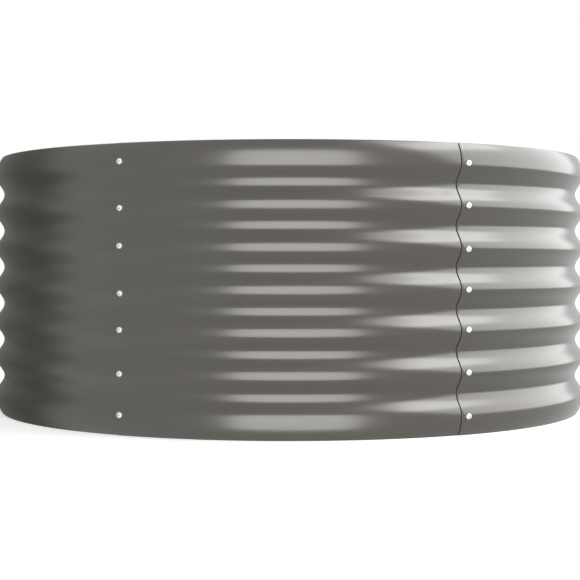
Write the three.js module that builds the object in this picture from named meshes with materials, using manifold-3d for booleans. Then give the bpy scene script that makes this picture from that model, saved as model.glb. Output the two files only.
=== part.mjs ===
// Round raised garden bed. Six corrugated steel panels, each rolled to a sixth of a circle,
// lap over each other like shingles and are bolted together through their crests.
// Millimetres, +Z up, origin at the centre of the bottom rim, front towards -Y.

import * as THREE from 'three';
import { mergeVertices } from 'three/addons/utils/BufferGeometryUtils.js';
import Module from 'manifold-3d';

const wasm = await Module();
wasm.setup();

// ---- Driving dimensions ----------------------------------------------------------------

// The wall. CREST_RADIUS is to the outer skin on a crest, where a panel laps over the next,
// and RIM_DEPTH is how far both rims stand in from the crests.
const CREST_RADIUS = 427;
const BED_HEIGHT = 360;
const CORRUGATIONS = 7;
const CORRUGATION_DEPTH = 11.3;
const RIM_DEPTH = 8;
const SHEET = 0.8;
const PANEL_NAMES = ['front', 'front_right', 'back_right', 'back', 'back_left', 'front_left'];

// The seams: a vertical row of bolts, one through every crest
const SEAM_NAMES = ['front_left', 'front_right', 'right', 'back_right', 'back_left', 'left'];
const EDGE_MARGIN = 9;
const LAP_GAP = 0.3;

// How far each bolt of a seam stands above its crest line, bottom to top
const BOLT_LIFTS = {
  front_left: [0.5, -0.5, 1.5, -4.5, 1.5, -3, 2],
  front_right: [-1.5, 0.5, 1.5, -0.5, -2, 0, 0.5],
};

// M4 pan-head bolt and its nut
const SHANK_DIAMETER = 4;
const HOLE_CLEARANCE = 0.35;
const HEAD_DIAMETER = 8;
const HEAD_HEIGHT = 3.1;
const HEAD_CROWN_DIAMETER = 5.6;
const NUT_ACROSS_FLATS = 7;
const NUT_HEIGHT = 3.2;
const SEAT_GAP = 0.3;

// Facets
const FACETS_PER_CORRUGATION = 6;
const FACETS_BETWEEN_LAPS = 6;
const HEAD_SIDES = 8;
const HEX_SIDES = 6;

// ---- What follows from them --------------------------------------------------------------

const PANEL_ANGLE = 2 * Math.PI / PANEL_NAMES.length;
const FIRST_SEAM_ANGLE = -PANEL_ANGLE / 2;
const LAP_ANGLE = Math.asin(EDGE_MARGIN / CREST_RADIUS);
const PITCH = BED_HEIGHT / CORRUGATIONS;
const ROWS = CORRUGATIONS * FACETS_PER_CORRUGATION;
const ROW_HEIGHT = PITCH / FACETS_PER_CORRUGATION;
const WAVE_SLOPE = Math.PI * CORRUGATION_DEPTH / PITCH;

// The sheet runs from its last crest to the rim on an arc of this radius
const RIM_REACH = PITCH / 2;
const RIM_ARC = (RIM_REACH ** 2 + RIM_DEPTH ** 2) / (2 * RIM_DEPTH);
const RIM_SLOPE = RIM_REACH / (RIM_ARC - RIM_DEPTH);

// Two nested sheets need this radial step to keep LAP_GAP between them on the steepest slope
const NEST_STEP = (SHEET + LAP_GAP) * Math.hypot(1, Math.max(WAVE_SLOPE, RIM_SLOPE));

// ---- The corrugated section, as points (radius, height) ----------------------------------

// How far a height lies past the last crest, towards the nearer rim
function pastLastCrest(z) {
  return RIM_REACH - Math.min(Math.abs(z), Math.abs(BED_HEIGHT - z));
}

// Middle of the sheet: one crest in every pitch, and an arc from the last one to each rim.
// Beyond a rim it is mirrored, which makes the rim's cut level.
function midRadius(z) {
  const past = pastLastCrest(z);
  const depth = past > 0
    ? RIM_ARC - Math.sqrt(RIM_ARC ** 2 - past ** 2)
    : CORRUGATION_DEPTH * (1 + Math.cos(2 * Math.PI * z / PITCH)) / 2;
  return CREST_RADIUS - NEST_STEP / 2 - SHEET / 2 - depth;
}

// Outward normal of the smooth section at a height
function sectionNormal(z) {
  const past = pastLastCrest(z);
  const slope = past > 0
    ? Math.sign(BED_HEIGHT / 2 - z) * past / Math.sqrt(RIM_ARC ** 2 - past ** 2)
    : WAVE_SLOPE * Math.sin(2 * Math.PI * z / PITCH);
  return new THREE.Vector2(1, -slope).normalize();
}

// Outward normal of the flat between a row and the next one up
function flatNormal(row) {
  const rise = midRadius((row + 1) * ROW_HEIGHT) - midRadius(row * ROW_HEIGHT);
  return new THREE.Vector2(ROW_HEIGHT, -rise).normalize();
}

// A corner of the section, moved off the middle of the sheet and mitred between its two flats
function sectionCorner(row, offset) {
  const above = flatNormal(row);
  const mitre = flatNormal(row - 1).add(above).normalize();
  const middle = new THREE.Vector2(midRadius(row * ROW_HEIGHT), row * ROW_HEIGHT);
  return middle.addScaledVector(mitre, offset / mitre.dot(above));
}

// ---- Solids --------------------------------------------------------------------------------

function toSolid(geometry) {
  const bare = geometry.clone();
  bare.deleteAttribute('normal');
  bare.deleteAttribute('uv');
  const merged = mergeVertices(bare, 1e-3);
  return new wasm.Manifold(new wasm.Mesh({
    numProp: 3,
    vertProperties: new Float32Array(merged.attributes.position.array),
    triVerts: new Uint32Array(merged.index.array),
  }));
}

function toGeometry(solid) {
  const mesh = solid.getMesh();
  const geometry = new THREE.BufferGeometry();
  geometry.setAttribute('position', new THREE.BufferAttribute(mesh.vertProperties, mesh.numProp));
  geometry.setIndex(new THREE.BufferAttribute(mesh.triVerts, 1));
  const faceted = geometry.toNonIndexed();
  faceted.computeVertexNormals();
  return faceted;
}

// ---- Fasteners, in the frame of their seam, where outward is -Y -----------------------------

function boltPlace(seam, index) {
  const lifts = BOLT_LIFTS[seam];
  const lift = lifts ? lifts[index] : 0;
  const height = (index + 0.5) * PITCH + lift;
  return {
    centre: new THREE.Vector2(midRadius(height) * Math.cos(LAP_ANGLE), height),
    axis: sectionNormal(height),
  };
}

// How far a skin of the lap stands out along a bolt's axis, within a reach of that axis.
// side is 1 for the outer skin and its outward direction, -1 for the inner ones.
function skinStandoff(place, side, reach) {
  const corners = [];
  for (let row = 0; row <= ROWS; row += 1) {
    const corner = sectionCorner(row, side * SHEET / 2);
    corner.x = (corner.x + side * NEST_STEP / 2) * Math.cos(LAP_ANGLE);
    corner.sub(place.centre);
    const along = new THREE.Vector2(-place.axis.y, place.axis.x).dot(corner);
    corners.push({ along, out: side * place.axis.dot(corner) });
  }
  let standoff = -Infinity;
  for (let row = 0; row < ROWS; row += 1) {
    const [low, high] = [corners[row], corners[row + 1]];
    if (high.along < -reach || low.along > reach) continue;
    for (const limit of [-reach, reach]) {
      const share = THREE.MathUtils.clamp((limit - low.along) / (high.along - low.along), 0, 1);
      standoff = Math.max(standoff, low.out + share * (high.out - low.out));
    }
  }
  return standoff;
}

// Turns a piece made along +Z into the bolt's axis and puts it on the bolt's centre
function placeOnBolt(object, place) {
  object.position.set(0, -place.centre.x, place.centre.y);
  object.rotation.x = Math.atan2(place.axis.x, place.axis.y);
  object.updateMatrix();
  return object;
}

// A prism or round bar along +Z between two heights
function bar(radius, sides, from, to) {
  const geometry = new THREE.CylinderGeometry(radius, radius, to - from, sides);
  return geometry.rotateX(Math.PI / 2).rotateZ(Math.PI / sides).translate(0, 0, (from + to) / 2);
}

function panHead(seat) {
  const profile = [
    new THREE.Vector2(0, 0),
    new THREE.Vector2(HEAD_DIAMETER / 2, 0),
    new THREE.Vector2(HEAD_CROWN_DIAMETER / 2, HEAD_HEIGHT),
    new THREE.Vector2(0, HEAD_HEIGHT),
  ];
  return new THREE.LatheGeometry(profile, HEAD_SIDES).rotateX(Math.PI / 2).translate(0, 0, seat);
}

function boltWithNut(place) {
  const headSeat = skinStandoff(place, 1, HEAD_DIAMETER / 2) + SEAT_GAP;
  const nutSeat = skinStandoff(place, -1, NUT_ACROSS_FLATS / 2) + SEAT_GAP;
  const nutRadius = NUT_ACROSS_FLATS / 2 / Math.cos(Math.PI / HEX_SIDES);
  const shankTop = headSeat + HEAD_HEIGHT / 2;
  const shankEnd = -nutSeat - NUT_HEIGHT / 2;
  const head = toSolid(panHead(headSeat));
  const shank = toSolid(bar(SHANK_DIAMETER / 2, HEX_SIDES, shankEnd, shankTop));
  const nut = toSolid(bar(nutRadius, HEX_SIDES, -nutSeat - NUT_HEIGHT, -nutSeat));
  return toGeometry(head.add(shank).add(nut));
}

// Punched through both sheets of the lap
function boltHole(place) {
  const radius = SHANK_DIAMETER / 2 + HOLE_CLEARANCE / Math.cos(Math.PI / HEX_SIDES);
  const through = 2 * (NEST_STEP + SHEET);
  const hole = bar(radius, HEX_SIDES, -through, through);
  const cutter = placeOnBolt(new THREE.Object3D(), place);
  return hole.applyMatrix4(cutter.matrix);
}

// ---- Panels, in the frame of the seam at their left end -------------------------------------

// Column lines of a panel: one flat over each lap, and equal flats between them
function panelAngles() {
  const angles = [-LAP_ANGLE];
  for (let index = 0; index <= FACETS_BETWEEN_LAPS; index += 1) {
    angles.push(LAP_ANGLE + (PANEL_ANGLE - 2 * LAP_ANGLE) * index / FACETS_BETWEEN_LAPS);
  }
  angles.push(PANEL_ANGLE + LAP_ANGLE);
  return angles;
}

// The left end lies on top of its neighbour and the right end under the next, so the panel
// winds in by NEST_STEP from one lap to the other
function nestOffset(angle) {
  const share = (angle - LAP_ANGLE) / (PANEL_ANGLE - 2 * LAP_ANGLE);
  return NEST_STEP * (0.5 - THREE.MathUtils.clamp(share, 0, 1));
}

// A flat blank with a grid of facets, rolled to its arc and pressed to the corrugated section
function rolledSheet() {
  const angles = panelAngles();
  const columns = angles.length - 1;
  const blank = new THREE.BoxGeometry(columns, ROWS, 1, columns, ROWS, 1);
  const points = blank.attributes.position;
  for (let i = 0; i < points.count; i += 1) {
    const angle = angles[Math.round(points.getX(i) + columns / 2)];
    const row = Math.round(points.getY(i) + ROWS / 2);
    const corner = sectionCorner(row, points.getZ(i) * SHEET);
    const radius = corner.x + nestOffset(angle);
    points.setXYZ(i, radius * Math.sin(angle), -radius * Math.cos(angle), corner.y);
  }
  return blank;
}

function panel(leftSeam, rightSeam) {
  let solid = toSolid(rolledSheet());
  for (let index = 0; index < CORRUGATIONS; index += 1) {
    const left = boltHole(boltPlace(leftSeam, index));
    const right = boltHole(boltPlace(rightSeam, index)).rotateZ(PANEL_ANGLE);
    solid = solid.subtract(toSolid(left)).subtract(toSolid(right));
  }
  return toGeometry(solid);
}

// ---- Finishes ----------------------------------------------------------------------------------

const powderCoat = () => new THREE.MeshStandardMaterial({
  color: 0x7b7a74, roughness: 0.38, metalness: 0.1,
});

const zincPlate = () => new THREE.MeshStandardMaterial({
  color: 0xc8c9c6, roughness: 0.3, metalness: 1,
});

// ---- Assembly ----------------------------------------------------------------------------------

const bed = new THREE.Group();
bed.name = 'raised_garden_bed';

SEAM_NAMES.forEach((seam, index) => {
  const nextSeam = SEAM_NAMES[(index + 1) % SEAM_NAMES.length];
  const sector = new THREE.Group();
  sector.rotation.z = FIRST_SEAM_ANGLE + index * PANEL_ANGLE;

  const sheet = new THREE.Mesh(panel(seam, nextSeam), powderCoat());
  sheet.name = `panel_${PANEL_NAMES[index]}`;
  sector.add(sheet);

  for (let number = 0; number < CORRUGATIONS; number += 1) {
    const place = boltPlace(seam, number);
    const bolt = new THREE.Mesh(boltWithNut(place), zincPlate());
    bolt.name = `bolt_${seam}_${number + 1}`;
    sector.add(placeOnBolt(bolt, place));
  }
  bed.add(sector);
});

export default bed;
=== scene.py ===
# Looks of a round raised garden bed: six corrugated wall panels, rolled to a sixth of a circle,
# lapped like shingles and bolted together through their crests. Metres, +Z up, front towards -Y.

import math
import random

import bmesh
import bpy
from mathutils import Matrix, Vector


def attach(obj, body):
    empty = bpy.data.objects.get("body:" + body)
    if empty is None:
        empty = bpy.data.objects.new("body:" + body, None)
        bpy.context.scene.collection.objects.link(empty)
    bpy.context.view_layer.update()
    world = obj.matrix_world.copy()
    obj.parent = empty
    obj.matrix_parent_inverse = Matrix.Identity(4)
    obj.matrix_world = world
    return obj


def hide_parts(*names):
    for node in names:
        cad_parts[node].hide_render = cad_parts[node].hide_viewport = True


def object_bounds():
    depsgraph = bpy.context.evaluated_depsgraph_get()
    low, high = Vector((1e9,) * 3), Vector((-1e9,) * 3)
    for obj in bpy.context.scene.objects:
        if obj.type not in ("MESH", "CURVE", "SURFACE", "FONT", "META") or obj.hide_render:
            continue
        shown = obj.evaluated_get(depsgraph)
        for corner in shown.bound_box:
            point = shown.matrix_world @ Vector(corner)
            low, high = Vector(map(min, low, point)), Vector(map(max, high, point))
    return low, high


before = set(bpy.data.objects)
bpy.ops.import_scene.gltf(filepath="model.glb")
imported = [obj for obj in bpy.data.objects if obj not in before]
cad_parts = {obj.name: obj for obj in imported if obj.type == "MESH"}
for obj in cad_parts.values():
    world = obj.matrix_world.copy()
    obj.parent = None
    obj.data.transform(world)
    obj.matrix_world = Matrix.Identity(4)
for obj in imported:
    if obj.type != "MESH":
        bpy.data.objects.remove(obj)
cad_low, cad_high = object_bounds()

# ---- Wall panels -----------------------------------------------------------------------------
# Each panel is 0.8 mm galvanised steel sheet, rolled into seven corrugations, curved to a sixth
# of a circle, powder-coated warm grey and punched for its bolts. Its left end lies over its
# neighbour and its right end under the next, so it winds in by one nesting step on the way.

MM = 0.001
CREST_RADIUS = 427 * MM
CORRUGATIONS = 7
CORRUGATION_DEPTH = 11.3 * MM
RIM_DEPTH = 8 * MM
SHEET = 0.8 * MM
LAP_GAP = 0.3 * MM
EDGE_MARGIN = 9 * MM
HOLE_DIAMETER = 4.7 * MM
PUNCH_LENGTH = 8 * SHEET
PANELS = ["front", "front_right", "back_right", "back", "back_left", "front_left"]
SEAMS = ["front_left", "front_right", "right", "back_right", "back_left", "left"]
PANEL_ANGLE = math.tau / len(PANELS)
FIRST_SEAM_ANGLE = -PANEL_ANGLE / 2
# How far each bolt sits above its crest line in mm, from the lowest up, on the seams in view
BOLT_LIFTS = {
    "front_left": [0.5, -0.5, 1.5, -4.5, 1.5, -3, 2],
    "front_right": [-1.5, 0.5, 1.5, -0.5, -2, 0, 0.5],
}
BED_HEIGHT = cad_high.z - cad_low.z
PITCH = BED_HEIGHT / CORRUGATIONS
WAVE_SLOPE = math.pi * CORRUGATION_DEPTH / PITCH
RIM_REACH = PITCH / 2
RIM_ARC = (RIM_REACH ** 2 + RIM_DEPTH ** 2) / (2 * RIM_DEPTH)
RIM_SLOPE = RIM_REACH / (RIM_ARC - RIM_DEPTH)
NEST_STEP = (SHEET + LAP_GAP) * math.hypot(1, max(WAVE_SLOPE, RIM_SLOPE))
LAP_ANGLE = math.asin(EDGE_MARGIN / CREST_RADIUS)

ROWS_PER_CORRUGATION = 28
WALL_COLUMNS = 40
LAP_COLUMNS = 6
HOLE_SIDES = 32
PANEL_CREASE = 50


def section(height):
    """Radius of the middle of the wall at a height, and the section's outward normal there.
    The wall has one crest in every pitch, and an arc from the last one to each rim."""
    past = RIM_REACH - min(height, BED_HEIGHT - height)
    if past > 0:
        depth = RIM_ARC - math.sqrt(RIM_ARC ** 2 - past ** 2)
        slope = math.copysign(past / (RIM_ARC - depth), BED_HEIGHT / 2 - height)
    else:
        turn = math.tau * height / PITCH
        depth = CORRUGATION_DEPTH * (1 + math.cos(turn)) / 2
        slope = WAVE_SLOPE * math.sin(turn)
    radius = CREST_RADIUS - NEST_STEP / 2 - SHEET / 2 - depth
    return radius, Vector((1, -slope)).normalized()


def nest_offset(angle):
    """How far a panel lies outside the middle radius, at an angle from its left seam."""
    share = (angle - LAP_ANGLE) / (PANEL_ANGLE - 2 * LAP_ANGLE)
    return NEST_STEP * (0.5 - min(max(share, 0), 1))


def with_border(start, end, edge, steps):
    """Even steps from start to end, with close lines near both for a rounded cut edge."""
    close = [edge * share for share in (0, 0.15, 0.5, 1)]
    inner = [start + (end - start) * i / steps for i in range(1, steps)]
    return [start + c for c in close] + inner + [end - c for c in reversed(close)]


def panel_columns():
    """Angles of a panel's mesh lines, closer together across the two laps."""
    cut_edge = SHEET / 2 / CREST_RADIUS
    past_edge = 1.01 * cut_edge

    def in_lap(angle):
        return (-LAP_ANGLE + past_edge < angle < LAP_ANGLE
                or -LAP_ANGLE < angle - PANEL_ANGLE < LAP_ANGLE - past_edge)

    lines = with_border(-LAP_ANGLE, PANEL_ANGLE + LAP_ANGLE, cut_edge, WALL_COLUMNS)
    lines = [angle for angle in lines if not in_lap(angle)]
    for seam in (0, PANEL_ANGLE):
        lines += [seam + LAP_ANGLE * (2 * i / LAP_COLUMNS - 1) for i in range(1, LAP_COLUMNS)]
    lines += [LAP_ANGLE, PANEL_ANGLE - LAP_ANGLE]
    return sorted(lines)


def sheet_mesh(name):
    """One panel, in the frame of its left seam, as an outer and an inner skin that meet in
    half-round cut edges. Its UV map holds metres along and up the sheet."""
    columns = panel_columns()
    lean = 1 / math.hypot(1, RIM_SLOPE)
    foot = SHEET / 2 * (1 - lean)
    rows = with_border(foot, BED_HEIGHT - foot, SHEET / 2 * lean,
                       ROWS_PER_CORRUGATION * CORRUGATIONS)
    width = (PANEL_ANGLE + 2 * LAP_ANGLE) * CREST_RADIUS
    vertices, index = [], {}
    for i, angle in enumerate(columns):
        along = (angle + LAP_ANGLE) * CREST_RADIUS
        for j, height in enumerate(rows):
            rim = (min(height, BED_HEIGHT - height) - foot) / lean
            edge = min(along, width - along, rim)
            inset = min(max(edge, 0) / (SHEET / 2), 1)
            half = SHEET / 2 * math.sqrt(max(0, 1 - (1 - inset) ** 2))
            skins_meet = half < 1e-9
            radius, normal = section(height)
            for side in (1, -1):
                if skins_meet and side < 0:
                    index[i, j, side] = index[i, j, 1]
                    continue
                out = radius + nest_offset(angle) + side * half * normal.x
                index[i, j, side] = len(vertices)
                vertices.append((out * math.sin(angle), -out * math.cos(angle),
                                 height + side * half * normal.y))
    faces, corners = [], []
    for i in range(len(columns) - 1):
        for j in range(len(rows) - 1):
            around = [(i, j), (i + 1, j), (i + 1, j + 1), (i, j + 1)]
            for side in (1, -1):
                turn = around if side > 0 else around[::-1]
                faces.append([index[c, r, side] for c, r in turn])
                corners += [(columns[c] * CREST_RADIUS, rows[r]) for c, r in turn]
    mesh = bpy.data.meshes.new(name)
    mesh.from_pydata(vertices, [], faces)
    sheet_map = mesh.uv_layers.new(name="sheet")
    for loop, corner in zip(sheet_map.data, corners, strict=True):
        loop.uv = corner
    return mesh


def link(mesh, name, matrix=None):
    piece = bpy.data.objects.new(name, mesh)
    bpy.context.scene.collection.objects.link(piece)
    if matrix:
        piece.matrix_world = matrix
    return piece


def as_mesh(made, name):
    """Turns a bmesh that is finished into a mesh."""
    mesh = bpy.data.meshes.new(name)
    made.to_mesh(mesh)
    made.free()
    return mesh


def carve(piece, tool, arms_cross=False):
    """Cuts a tool's shape out of a piece. Where the tool's own arms cross, it is cut exactly."""
    cutter = link(as_mesh(tool, "cutter"), "cutter")
    cut = piece.modifiers.new("cut", "BOOLEAN")
    cut.operation, cut.object = "DIFFERENCE", cutter
    cut.solver = "EXACT" if arms_cross else "MANIFOLD"
    cut.use_self = arms_cross
    ready = piece.evaluated_get(bpy.context.evaluated_depsgraph_get())
    carved = bpy.data.meshes.new_from_object(ready)
    piece.modifiers.clear()
    piece.data = carved
    bpy.data.objects.remove(cutter)


def smooth(mesh, crease):
    """Shades a mesh smooth, and sharp where it turns by more than the crease, in degrees."""
    mesh.shade_smooth()
    mesh.set_sharp_from_angle(angle=math.radians(crease))


def bolt_height(seam, number):
    lift = BOLT_LIFTS.get(SEAMS[seam], [0] * CORRUGATIONS)[number] * MM
    return (number + 0.5) * PITCH + lift


def bolt_frame(seam, number):
    """Where a bolt crosses the middle of its lap, with +Z outward along the bolt."""
    height = bolt_height(seam, number)
    radius, normal = section(height)
    turn = Matrix.Rotation(FIRST_SEAM_ANGLE + seam * PANEL_ANGLE, 4, "Z")
    place = Matrix.Translation((0, -radius, height))
    return turn @ place @ Matrix.Rotation(math.atan2(normal.x, normal.y), 4, "X")


def punch(sheet, seams):
    """Punches the bolt holes of both end seams through a panel's sheet."""
    tool = bmesh.new()
    for seam in seams:
        for number in range(CORRUGATIONS):
            bmesh.ops.create_cone(tool, cap_ends=True, segments=HOLE_SIDES,
                                  radius1=HOLE_DIAMETER / 2, radius2=HOLE_DIAMETER / 2,
                                  depth=PUNCH_LENGTH, matrix=bolt_frame(seam, number))
    carve(sheet, tool)


def linear(colour):
    """An sRGB hex colour as linear RGBA."""
    parts = [int(colour[i:i + 2], 16) / 255 for i in (1, 3, 5)]
    return [p / 12.92 if p <= 0.04045 else ((p + 0.055) / 1.055) ** 2.4 for p in parts] + [1]


def add(tree, kind, inputs=None, **settings):
    """Adds a node with its settings. inputs gives each socket, by name or number, a value or
    the socket that feeds it."""
    node = tree.nodes.new(kind)
    for name, value in settings.items():
        setattr(node, name, value)
    for name, value in (inputs or {}).items():
        if isinstance(value, bpy.types.NodeSocket):
            tree.links.new(value, node.inputs[name])
        else:
            node.inputs[name].default_value = value
    return node


def new_material(name):
    material = bpy.data.materials.new(name)
    material.use_nodes = True
    material.node_tree.nodes.clear()
    return material, material.node_tree


# Polyester powder coat, sprayed dry and baked on the galvanised sheet. The film levels to a
# satin gloss with a fine orange peel about 1.2 mm from bump to bump, a little uneven in shade,
# and the forming rolls leave it very slightly wavy along the corrugations. Its IOR starts from
# the usual 1.5 and is matched to how much brighter than the wall the photo's highlights are.
COAT_SHADES = ("#2a261d", "#302c22")
COAT_IOR = 1.8
COAT_ROUGHNESS = (0.22, 0.26)
SHADE_CLOUD = 90 * MM
FLECK = 2.4 * MM
FLECK_SHADES = (0.96, 1.04)
ROLL_MARK = (160 * MM, 7 * MM)  # along the sheet and up it
ROLL_MARK_HEIGHT = 0.03 * MM
ORANGE_PEEL = 1.2 * MM
ORANGE_PEEL_HEIGHT = 0.0015 * MM
MIX_A, MIX_B, MIX_RESULT = 6, 7, 2  # the Mix node's sockets for two colours and their mix


def satin_powder_coat():
    material, tree = new_material("satin_powder_coat")
    place = add(tree, "ShaderNodeTexCoord").outputs["Object"]
    sheet = add(tree, "ShaderNodeUVMap", uv_map="sheet").outputs["UV"]
    cloud = add(tree, "ShaderNodeTexNoise", {
        "Vector": place, "Scale": 1 / SHADE_CLOUD, "Detail": 3, "Roughness": 0.5})
    fleck = add(tree, "ShaderNodeTexNoise", {
        "Vector": place, "Scale": 1 / FLECK, "Detail": 2, "Roughness": 0.6})
    shade = add(tree, "ShaderNodeMix", {
        "Factor": cloud.outputs["Fac"], MIX_A: linear(COAT_SHADES[0]),
        MIX_B: linear(COAT_SHADES[1])}, data_type="RGBA")
    speck = add(tree, "ShaderNodeMapRange", {
        "Value": fleck.outputs["Fac"], "To Min": FLECK_SHADES[0], "To Max": FLECK_SHADES[1]})
    colour = add(tree, "ShaderNodeVectorMath", {
        0: shade.outputs[MIX_RESULT], 1: speck.outputs["Result"]}, operation="MULTIPLY")
    gloss = add(tree, "ShaderNodeMapRange", {
        "Value": cloud.outputs["Fac"], "To Min": COAT_ROUGHNESS[0], "To Max": COAT_ROUGHNESS[1]})
    peel = add(tree, "ShaderNodeTexNoise", {
        "Vector": place, "Scale": 1 / ORANGE_PEEL, "Detail": 1, "Roughness": 0.4})
    along = add(tree, "ShaderNodeMapping", {
        "Vector": sheet, "Scale": (1 / ROLL_MARK[0], 1 / ROLL_MARK[1], 1)})
    rolled = add(tree, "ShaderNodeTexNoise", {
        "Vector": along.outputs["Vector"], "Scale": 1, "Detail": 2, "Roughness": 0.5})
    wave = add(tree, "ShaderNodeBump", {
        "Height": rolled.outputs["Fac"], "Strength": 1, "Distance": ROLL_MARK_HEIGHT})
    orange_peel = add(tree, "ShaderNodeBump", {
        "Height": peel.outputs["Fac"], "Normal": wave.outputs["Normal"],
        "Strength": 1, "Distance": ORANGE_PEEL_HEIGHT})
    shader = add(tree, "ShaderNodeBsdfPrincipled", {
        "Base Color": colour.outputs["Vector"], "Roughness": gloss.outputs["Result"],
        "Normal": orange_peel.outputs["Normal"], "IOR": COAT_IOR})
    add(tree, "ShaderNodeOutputMaterial", {"Surface": shader.outputs["BSDF"]})
    return material


powder_coat = satin_powder_coat()
for number, panel in enumerate(PANELS):
    sheet = link(sheet_mesh(f"wall_panel_{panel}"), f"wall_panel_{panel}")
    sheet.data.transform(Matrix.Rotation(FIRST_SEAM_ANGLE + number * PANEL_ANGLE, 4, "Z"))
    punch(sheet, [number, (number + 1) % len(SEAMS)])
    sheet.data.materials.clear()
    sheet.data.materials.append(powder_coat)
    smooth(sheet.data, PANEL_CREASE)
    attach(sheet, "root")
    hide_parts(f"panel_{panel}")

# ---- Bolts -----------------------------------------------------------------------------------
# An M4 x 8 pan-head bolt of zinc-plated steel goes through every crest of every lap from the
# outside. Its head is upset and its cross recess punched cold, and its thread is rolled.

HEAD_DIAMETER = 8 * MM
HEAD_HEIGHT = 3.1 * MM
HEAD_EDGE = 0.12 * MM
HEAD_CHAMFER = 0.25 * MM
CROWN_WIDTH_POWER = 0.35  # 1 and 1 would make the crown half an ellipse
CROWN_HEIGHT_POWER = 0.9
CROWN_FLAT_RADIUS = 0.15 * MM
SHANK_LENGTH = 8 * MM
SHANK_DIAMETER = 4 * MM
NECK = 0.01 * MM  # left between the shank's last ring and the head
THREAD_PITCH = 0.7 * MM
THREAD_DEPTH = 0.38 * MM
THREAD_LENGTH = 5.6 * MM
THREAD_RUNOUT = 0.4 * MM
POINT_LENGTH = 0.5 * MM
POINT_SHARE = 0.8  # the thread's end is this much of its full width
RECESS_DEPTH = 1.3 * MM
RECESS_BOTTOM = (0.8 * MM, 0.25 * MM)  # half of an arm's length and of its width
RECESS_TOP = (1.9 * MM, 0.45 * MM)
RECESS_RISE = 0.4 * MM

BOLT_SIDES = 32
THREAD_RINGS = 64
CROWN_RINGS = 12
SEAT_STEPS = 60
SEAT_SEARCH = 1.3
BOLT_CREASE = 38


def revolve(rings, sides, ring_shaped=False):
    """A closed mesh of rings [(height, radius at a turn)], each joined to the next. The first
    and the last are capped, or joined to each other in a ring-shaped piece."""
    mesh = bmesh.new()
    turns = [math.tau * s / sides for s in range(sides)]
    loops = [[mesh.verts.new((radius_at(t) * math.cos(t), radius_at(t) * math.sin(t), height))
              for t in turns] for height, radius_at in rings]
    after = loops[1:] + (loops[:1] if ring_shaped else [])
    for low, high in zip(loops, after):
        for s in range(sides):
            n = (s + 1) % sides
            mesh.faces.new([low[s], low[n], high[n], high[s]])
    if not ring_shaped:
        mesh.faces.new(loops[0][::-1])
        mesh.faces.new(loops[-1])
    return mesh


def thread_radius(height):
    """Radius over the turn at a height: a helical V thread that fades into the shank."""
    above_end = height + SHANK_LENGTH
    full = min(max(above_end / POINT_LENGTH, 0), 1)
    fade = min(max((THREAD_LENGTH - above_end) / THREAD_RUNOUT, 0), 1)

    def radius(turn):
        phase = (height / THREAD_PITCH - turn / math.tau) % 1
        groove = THREAD_DEPTH * abs(2 * phase - 1) * fade
        return (SHANK_DIAMETER / 2 - groove) * (POINT_SHARE + (1 - POINT_SHARE) * full)
    return radius


def pan_head_blank():
    """The bolt before its recess is punched, with the underside of its head at height 0."""
    rings = []
    for i in range(THREAD_RINGS + 1):
        height = -SHANK_LENGTH + THREAD_LENGTH * i / THREAD_RINGS
        rings.append((height, thread_radius(height)))
    rings.append((-NECK, lambda turn: SHANK_DIAMETER / 2))
    rings.append((0, lambda turn: HEAD_DIAMETER / 2 - HEAD_CHAMFER))
    for i in range(CROWN_RINGS + 1):
        swing = math.radians(90) * i / CROWN_RINGS
        radius = max(HEAD_DIAMETER / 2 * math.cos(swing) ** CROWN_WIDTH_POWER, CROWN_FLAT_RADIUS)
        rise = (HEAD_HEIGHT - HEAD_EDGE) * math.sin(swing) ** CROWN_HEIGHT_POWER
        rings.append((HEAD_EDGE + rise, lambda turn, radius=radius: radius))
    return revolve(rings, BOLT_SIDES)


def recess_tool():
    """The cross-shaped punch, tapering from the crown of the head into it."""
    tool = bmesh.new()
    for turn in (0, 90):
        corners = []
        for level, (half_length, half_width) in ((HEAD_HEIGHT - RECESS_DEPTH, RECESS_BOTTOM),
                                                 (HEAD_HEIGHT + RECESS_RISE, RECESS_TOP)):
            for x, y in ((-1, -1), (1, -1), (1, 1), (-1, 1)):
                spot = Vector((x * half_length, y * half_width, level))
                corners.append(tool.verts.new(Matrix.Rotation(
                    math.radians(turn), 3, "Z") @ spot))
        for face in ((3, 2, 1, 0), (4, 5, 6, 7), (0, 1, 5, 4), (1, 2, 6, 5), (2, 3, 7, 6),
                     (3, 0, 4, 7)):
            tool.faces.new([corners[f] for f in face])
    return tool


def pan_head_mesh():
    blank = link(as_mesh(pan_head_blank(), "pan_head_bolt"), "pan_head_bolt")
    carve(blank, recess_tool(), arms_cross=True)
    mesh = blank.data
    bpy.data.objects.remove(blank)
    smooth(mesh, BOLT_CREASE)
    return mesh


# Bright zinc plate, laid on the finished steel in a bath. It mirrors softly, with the faint
# clouds that the bath leaves, a few millimetres across.
ZINC_SHADES = ("#c4c6c4", "#d6d6d1")
ZINC_ROUGHNESS = (0.5, 0.6)
BATH_CLOUD = 2.5 * MM
ZINC_GRAIN = 0.5 * MM
ZINC_GRAIN_HEIGHT = 0.006 * MM


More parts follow.
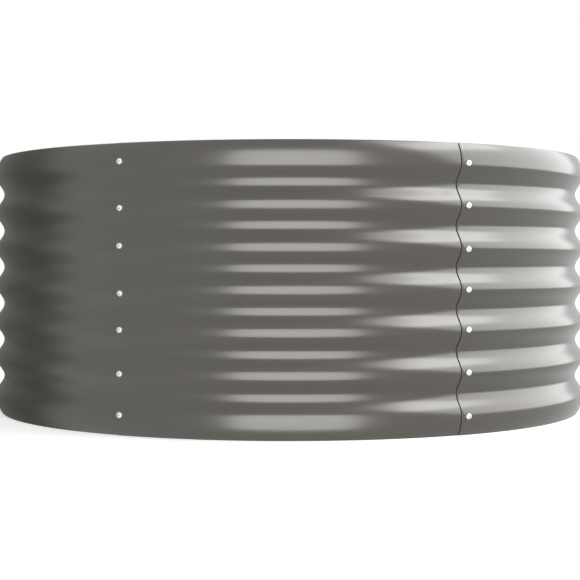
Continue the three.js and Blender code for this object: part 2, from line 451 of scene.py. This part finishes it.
def bright_zinc_plate():
    material, tree = new_material("bright_zinc_plate")
    place = add(tree, "ShaderNodeTexCoord").outputs["Object"]
    cloud = add(tree, "ShaderNodeTexNoise", {
        "Vector": place, "Scale": 1 / BATH_CLOUD, "Detail": 3, "Roughness": 0.55})
    shade = add(tree, "ShaderNodeMix", {
        "Factor": cloud.outputs["Fac"], MIX_A: linear(ZINC_SHADES[0]),
        MIX_B: linear(ZINC_SHADES[1])}, data_type="RGBA")
    gloss = add(tree, "ShaderNodeMapRange", {
        "Value": cloud.outputs["Fac"], "To Min": ZINC_ROUGHNESS[0], "To Max": ZINC_ROUGHNESS[1]})
    grain = add(tree, "ShaderNodeTexNoise", {
        "Vector": place, "Scale": 1 / ZINC_GRAIN, "Detail": 2, "Roughness": 0.5})
    bump = add(tree, "ShaderNodeBump", {
        "Height": grain.outputs["Fac"], "Strength": 1, "Distance": ZINC_GRAIN_HEIGHT})
    shader = add(tree, "ShaderNodeBsdfPrincipled", {
        "Base Color": shade.outputs[MIX_RESULT], "Metallic": 1,
        "Roughness": gloss.outputs["Result"], "Normal": bump.outputs["Normal"]})
    add(tree, "ShaderNodeOutputMaterial", {"Surface": shader.outputs["BSDF"]})
    return material


def skin_standoff(seam, number, side, reach):
    """How far a skin of the lap stands out along a bolt's axis, within a reach of that axis.
    Heights a little past the reach are tried too, because the axis may lean."""
    middle = bolt_height(seam, number)
    centre_radius, axis = section(middle)
    tangent = Vector((-axis.y, axis.x))
    best = -math.inf
    for step in range(-SEAT_STEPS, SEAT_STEPS + 1):
        height = middle + SEAT_SEARCH * reach * step / SEAT_STEPS
        radius, normal = section(height)
        skin = Vector((radius + side * NEST_STEP / 2, height)) + side * SHEET / 2 * normal
        offset = skin - Vector((centre_radius, middle))
        if abs(offset.dot(tangent)) <= reach:
            best = max(best, side * offset.dot(axis))
    return best


# The turns at which heads and nuts happened to be left, the same in every run
tightened = random.Random(7)


def seat(seam, number, side, reach):
    """Where a head (side 1) or a nut (side -1) rests on its lap, at the turn it is left at."""
    rest = side * skin_standoff(seam, number, side, reach)
    turn = Matrix.Rotation(tightened.uniform(0, math.pi), 4, "Z")
    return bolt_frame(seam, number) @ Matrix.Translation((0, 0, rest)) @ turn


zinc = bright_zinc_plate()
bolt_mesh = pan_head_mesh()
bolt_mesh.materials.append(zinc)
for seam, seam_name in enumerate(SEAMS):
    for number in range(CORRUGATIONS):
        name = f"{seam_name}_{number + 1}"
        bolt = link(bolt_mesh, f"pan_head_bolt_{name}", seat(seam, number, 1, HEAD_DIAMETER / 2))
        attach(bolt, "root")
        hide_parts(f"bolt_{name}")

# ---- Nuts ------------------------------------------------------------------------------------
# Each bolt is held inside the wall by a zinc-plated M4 hex nut, 7 mm across flats, cold-formed
# with chamfered corners. It sits in the trough of the crest, on the trough's two sides.

NUT_ACROSS_FLATS = 7 * MM
NUT_HEIGHT = 3.2 * MM
NUT_BORE = 4.1 * MM
NUT_FACE_DIAMETER = 6.7 * MM
NUT_COUNTERSINK = 0.25 * MM
NUT_CHAMFER_SLOPE = math.tan(math.radians(60))

NUT_SIDES = 48
NUT_CREASE = 25


def nut_radius(level, turn):
    """Outer radius of the nut at a level over its lower face: the hexagon inside its chamfers."""
    sixth = math.radians(60)
    flat = NUT_ACROSS_FLATS / 2 / math.cos((turn + sixth / 2) % sixth - sixth / 2)
    cone = NUT_FACE_DIAMETER / 2 + NUT_CHAMFER_SLOPE * min(level, NUT_HEIGHT - level)
    return min(flat, cone)


def hex_nut_mesh():
    """The nut, below height 0 and with its upper face there."""
    corner = NUT_ACROSS_FLATS / 2 / math.cos(math.radians(30))
    chamfer = (corner - NUT_FACE_DIAMETER / 2) / NUT_CHAMFER_SLOPE
    levels = [0, 0.3 * chamfer, 0.6 * chamfer, chamfer]
    levels += [NUT_HEIGHT - level for level in reversed(levels)]
    rings = [(level - NUT_HEIGHT, lambda turn, level=level: nut_radius(level, turn))
             for level in levels]
    for height, radius in ((0, NUT_BORE / 2 + NUT_COUNTERSINK),
                           (-NUT_COUNTERSINK, NUT_BORE / 2),
                           (NUT_COUNTERSINK - NUT_HEIGHT, NUT_BORE / 2),
                           (-NUT_HEIGHT, NUT_BORE / 2 + NUT_COUNTERSINK)):
        rings.append((height, lambda turn, radius=radius: radius))
    mesh = as_mesh(revolve(rings, NUT_SIDES, ring_shaped=True), "hex_nut")
    smooth(mesh, NUT_CREASE)
    return mesh


nut_mesh = hex_nut_mesh()
nut_mesh.materials.append(zinc)
for seam, seam_name in enumerate(SEAMS):
    for number in range(CORRUGATIONS):
        name = f"{seam_name}_{number + 1}"
        nut = link(nut_mesh, f"hex_nut_{name}", seat(seam, number, -1, NUT_ACROSS_FLATS / 2))
        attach(nut, "root")
        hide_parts(f"bolt_{name}")

# ---- Floor and surround ----------------------------------------------------------------------
# A plain matt white studio table, which keeps the bed's soft shadow, in a plain white surround.
# Reflections leave the table out and see the surround, and the table shades nothing, so the
# tall front box also lights the wall's downward flanks from below.

TABLE_RADIUS = 1.3
TABLE_SIDES = 96
TABLE_COLOUR = "#e6e6e4"
TABLE_LIFT = 0.5  # glow that is added where the table is seen, so that it shows as white
SURROUND_ON_MATT = 0.2  # how strongly the surround lights matt surfaces; seen, it is 1
WHITE = "#ffffff"


def seen_white(tree):
    """1 where a surface is met by a camera, glossy or transmission ray, and otherwise 0."""
    path = add(tree, "ShaderNodeLightPath")
    seen = add(tree, "ShaderNodeMath", {
        0: path.outputs["Is Camera Ray"], 1: path.outputs["Is Glossy Ray"]}, operation="MAXIMUM")
    seen = add(tree, "ShaderNodeMath", {
        0: seen.outputs[0], 1: path.outputs["Is Transmission Ray"]}, operation="MAXIMUM")
    return seen.outputs[0]


def white_table():
    material, tree = new_material("white_table")
    matt = add(tree, "ShaderNodeBsdfDiffuse", {"Color": linear(TABLE_COLOUR)})
    lift = add(tree, "ShaderNodeEmission", {"Color": linear(WHITE), "Strength": TABLE_LIFT})
    both = add(tree, "ShaderNodeAddShader", {0: matt.outputs[0], 1: lift.outputs[0]})
    mix = add(tree, "ShaderNodeMixShader", {
        0: seen_white(tree), 1: matt.outputs[0], 2: both.outputs[0]})
    add(tree, "ShaderNodeOutputMaterial", {"Surface": mix.outputs[0]})
    return material


def white_surround():
    world = bpy.data.worlds.new("surround")
    world.use_nodes = True
    tree = world.node_tree
    tree.nodes.clear()
    strength = add(tree, "ShaderNodeMapRange", {
        "Value": seen_white(tree), "To Min": SURROUND_ON_MATT, "To Max": 1})
    white = add(tree, "ShaderNodeBackground", {
        "Color": linear(WHITE), "Strength": strength.outputs["Result"]})
    add(tree, "ShaderNodeOutputWorld", {"Surface": white.outputs[0]})
    return world


disc = bmesh.new()
bmesh.ops.create_circle(disc, cap_ends=True, segments=TABLE_SIDES, radius=TABLE_RADIUS)
floor = link(as_mesh(disc, "floor"), "floor")
floor.data.materials.append(white_table())
floor.visible_glossy = False
floor.visible_shadow = False
bpy.context.scene.world = white_surround()

# ---- Light -----------------------------------------------------------------------------------
# Soft boxes of a plain studio: a tall one in front, a large one at the right, a small brighter
# one above it and one high behind. A card of grey gauze behind at the left dims that edge.

AIM = Vector((0, 0, cad_high.z / 2))
WATTS_PER_SQUARE_METRE = 4
CARD_REACH = 2.0
CARD_FEATHER = 0.5  # share of the reach over which it thins out
CARD_COLOUR = "#7c7c79"


def stand(piece, azimuth, elevation, distance):
    """Puts a lamp or a card round the bed, facing it. Azimuth 0 is in front, 90 at the right."""
    around, up = math.radians(azimuth), math.radians(elevation)
    reach = Vector((math.sin(around) * math.cos(up), -math.cos(around) * math.cos(up),
                    math.sin(up)))
    bpy.context.scene.collection.objects.link(piece)
    piece.location = AIM + distance * reach
    piece.rotation_euler = (-reach).to_track_quat("-Z", "Y").to_euler()
    piece.visible_camera = False


def soft_box(name, azimuth, elevation, distance, width, height, brightness):
    """A rectangular lamp. Its power goes with its area, so lamps of one brightness have equally
    bright faces, whatever their size."""
    lamp = bpy.data.lights.new(name, "AREA")
    lamp.shape = "RECTANGLE"
    lamp.size, lamp.size_y = width, height
    lamp.energy = brightness * WATTS_PER_SQUARE_METRE * width * height
    stand(bpy.data.objects.new(name, lamp), azimuth, elevation, distance)


def grey_gauze():
    """Dyed gauze, dense in the middle of the card and thinner towards its rim."""
    material, tree = new_material("grey_gauze")
    place = add(tree, "ShaderNodeMapping", {
        "Vector": add(tree, "ShaderNodeTexCoord").outputs["Object"],
        "Scale": (1 / CARD_REACH, 1 / CARD_REACH, 1)})
    middle = add(tree, "ShaderNodeTexGradient", {"Vector": place.outputs["Vector"]},
                 gradient_type="SPHERICAL")
    dense = add(tree, "ShaderNodeMapRange", {
        "Value": middle.outputs["Fac"], "From Min": 0, "From Max": CARD_FEATHER},
        interpolation_type="SMOOTHSTEP")
    gauze = add(tree, "ShaderNodeBsdfDiffuse", {"Color": linear(CARD_COLOUR)})
    gap = add(tree, "ShaderNodeBsdfTransparent")
    mix = add(tree, "ShaderNodeMixShader", {
        0: dense.outputs["Result"], 1: gap.outputs[0], 2: gauze.outputs[0]})
    add(tree, "ShaderNodeOutputMaterial", {"Surface": mix.outputs[0]})
    return material


soft_box("front_box", azimuth=1, elevation=-1, distance=2.8,
         width=2.3, height=3.9, brightness=2.7)
soft_box("right_box", azimuth=96, elevation=27, distance=2.8,
         width=4.3, height=3.3, brightness=2.1)
soft_box("high_right_box", azimuth=71, elevation=49, distance=2.6,
         width=1.7, height=1.2, brightness=2.6)
soft_box("back_box", azimuth=-150, elevation=57, distance=2.6,
         width=2.4, height=1.3, brightness=2.7)

card_mesh = bpy.data.meshes.new("grey_card")
card_mesh.from_pydata([(x * CARD_REACH, y * CARD_REACH, 0)
                       for x, y in ((-1, -1), (1, -1), (1, 1), (-1, 1))], [], [(0, 1, 2, 3)])
card_mesh.materials.append(grey_gauze())
card = bpy.data.objects.new("grey_card", card_mesh)
stand(card, azimuth=-140, elevation=0, distance=1.3)

# ---- Camera ----------------------------------------------------------------------------------
# Level, a little over two metres in front of the bed, with the frame shifted down to it. Its
# place and lens were fitted to the bed's rims, side outlines, bolts and lapped edge.

camera_data = bpy.data.cameras.new("camera")
camera_data.sensor_width = 36
camera_data.lens = 88.65
camera_data.shift_y = -0.0534
camera = bpy.data.objects.new("camera", camera_data)
bpy.context.scene.collection.objects.link(camera)
camera.location = (-0.03015, -2.11934, 0.21699)
camera.rotation_euler = (math.radians(90), 0, math.radians(-0.8153))
bpy.context.scene.camera = camera

bpy.context.scene.view_settings.view_transform = "Standard"
